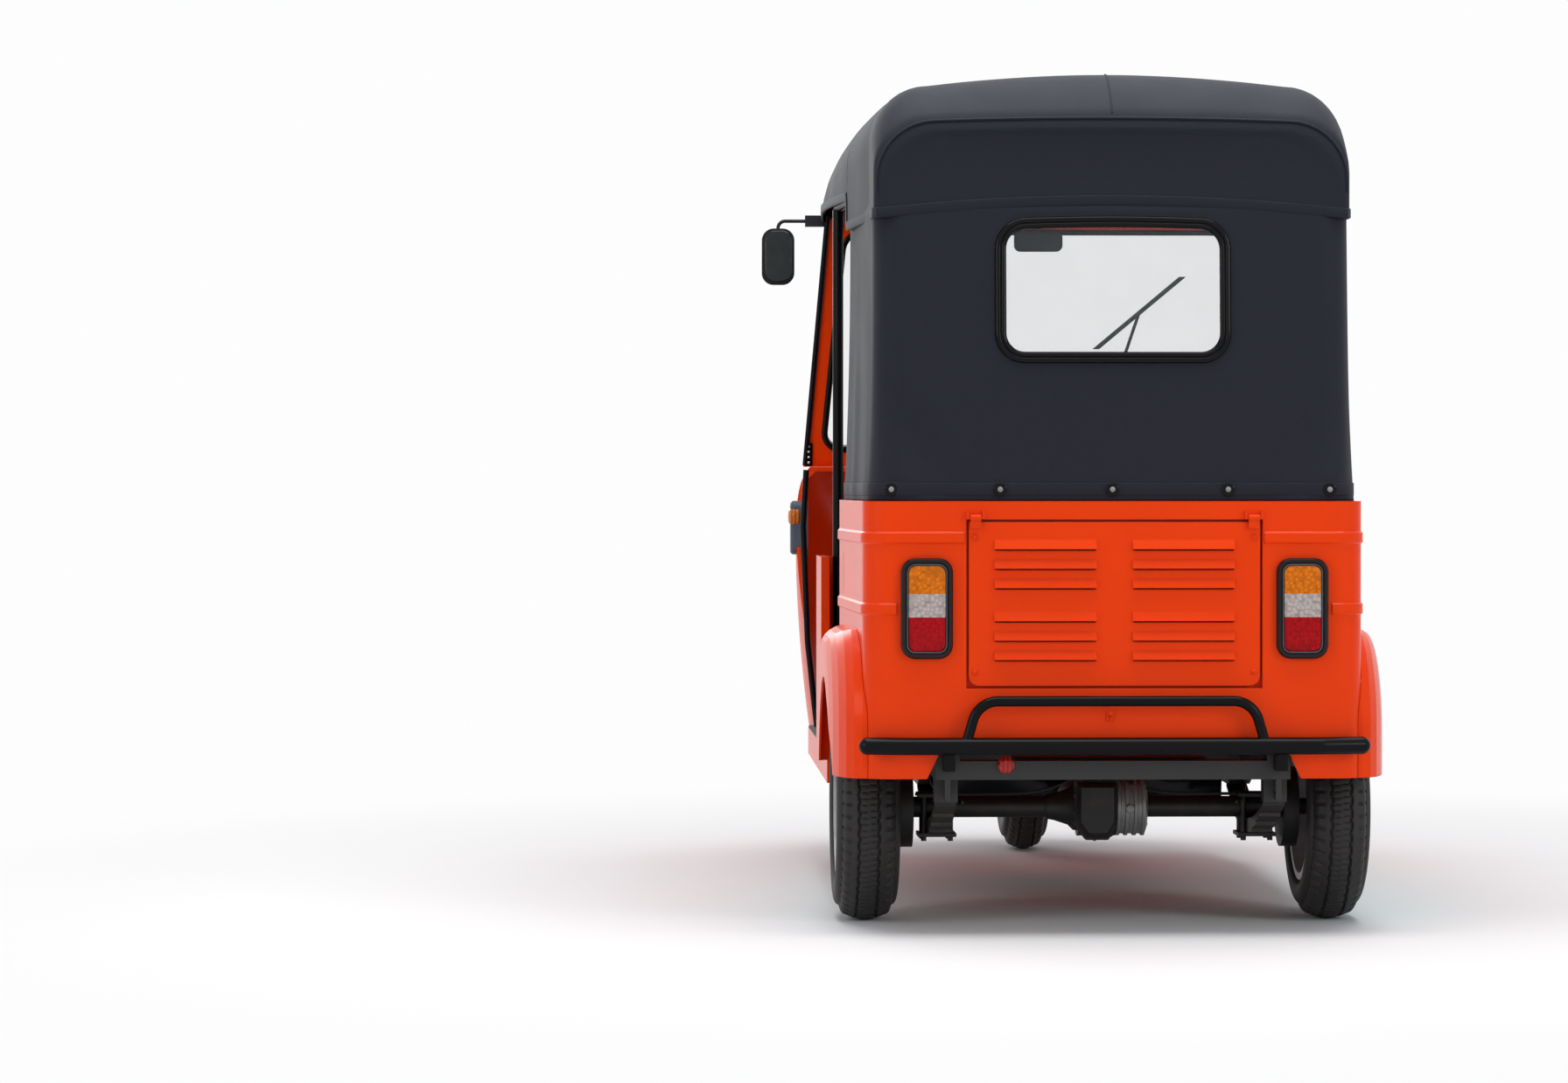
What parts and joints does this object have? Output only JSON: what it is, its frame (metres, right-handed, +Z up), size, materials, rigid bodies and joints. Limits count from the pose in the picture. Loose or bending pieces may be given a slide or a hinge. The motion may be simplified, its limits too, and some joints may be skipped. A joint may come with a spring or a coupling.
{
  "type": "auto rickshaw",
  "caption": "Soft-topped three-wheeled passenger taxi with a louvred rear lid, handlebar steering and a live rear axle.",
  "frame": {"origin": "on the floor, under the middle of the vehicle's length and width", "axes": "+X to the vehicle's right, +Y forward, +Z up"},
  "size_m": [1.39, 2.745, 1.8455],
  "materials": {
    "body_paint": "gloss red-orange paint",
    "black_paint": "gloss black paint",
    "frame_paint": "satin black chassis paint",
    "floor_rubber": "ribbed black mat",
    "grey_paint": "satin grey paint",
    "canopy_cloth": "charcoal coated cloth",
    "window_film": "clear flexible sheet",
    "screen_glass": "clear glass",
    "seal_rubber": "black rubber seal",
    "seat_cover": "black seat cover",
    "lamp_lens": "moulded lamp lens",
    "lamp_housing": "black lamp housing",
    "headlamp_lens": "clear lamp face with bright bowl",
    "black_plastic": "textured black plastic",
    "tyre_rubber": "black tyre",
    "wheel_silver": "silver wheel paint",
    "bare_casting": "cast metal",
    "spring_steel": "dark spring steel"
  },
  "bodies": {
    "body": {"canopy_frame": "black_paint", "canopy_roof": "canopy_cloth", "chassis_frame": "frame_paint", "dashboard": "black_plastic", "driver_seat_back": "seat_cover", "driver_seat_base": "body_paint", "driver_seat_cushion": "seat_cover", "engine_block": "bare_casting", "floor_pan": "body_paint", "front_cowl": "body_paint", "headlamps": "headlamp_lens", "latch_plates": "black_paint", "leaf_springs": "spring_steel", "mirrors": "black_plastic", "partition": "body_paint", "passenger_seat_back": "seat_cover", "passenger_seat_base": "body_paint", "passenger_seat_cushion": "seat_cover", "propshaft": "frame_paint", "rear_axle": "bare_casting", "rear_body_shell": "body_paint", "rear_bumper": "black_paint", "rear_curtain": "canopy_cloth", "rear_fenders": "body_paint", "rear_window": "window_film", "service_box": "black_paint", "side_indicators": "black_plastic", "side_panels": "body_paint", "tail_lamp_bezels": "lamp_housing", "tail_lamp_lenses": "lamp_lens", "window_gasket": "seal_rubber", "windscreen_frame": "body_paint", "windscreen_glass": "screen_glass", "wiper": "black_plastic"},
    "steering": {"front_fork": "frame_paint", "front_mudguard": "body_paint", "handlebar": "black_paint", "handlebar_grips": "black_plastic"},
    "front_wheel": {"front_tyre": "tyre_rubber", "front_rim": "wheel_silver"},
    "rear_wheel_left": {"rear_tyre_left": "tyre_rubber", "rear_rim_left": "wheel_silver"},
    "rear_wheel_right": {"rear_tyre_right": "tyre_rubber", "rear_rim_right": "wheel_silver"},
    "lid": {"rear_lid": "body_paint"}
  },
  "joints": [
    {"name": "steering", "type": "hinge", "parent": "body", "child": "steering", "pos_m": [0, 0.9975, 0.246], "axis": [0, -0.4695, 0.8829], "range_deg": [-38, 38]},
    {"name": "front_wheel_spin", "type": "hinge", "parent": "steering", "child": "front_wheel", "pos_m": [0, 1.0975, 0.246], "axis": [1, 0, 0], "continuous": true},
    {"name": "rear_left_wheel_spin", "type": "hinge", "parent": "body", "child": "rear_wheel_left", "pos_m": [-0.51, -0.9025, 0.246], "axis": [1, 0, 0], "continuous": true},
    {"name": "rear_right_wheel_spin", "type": "hinge", "parent": "body", "child": "rear_wheel_right", "pos_m": [0.51, -0.9025, 0.246], "axis": [1, 0, 0], "continuous": true},
    {"name": "rear_lid_hinge", "type": "hinge", "parent": "body", "child": "lid", "pos_m": [0, -1.3305, 0.886], "axis": [-1, 0, 0], "range_deg": [0, 80]}
  ]
}
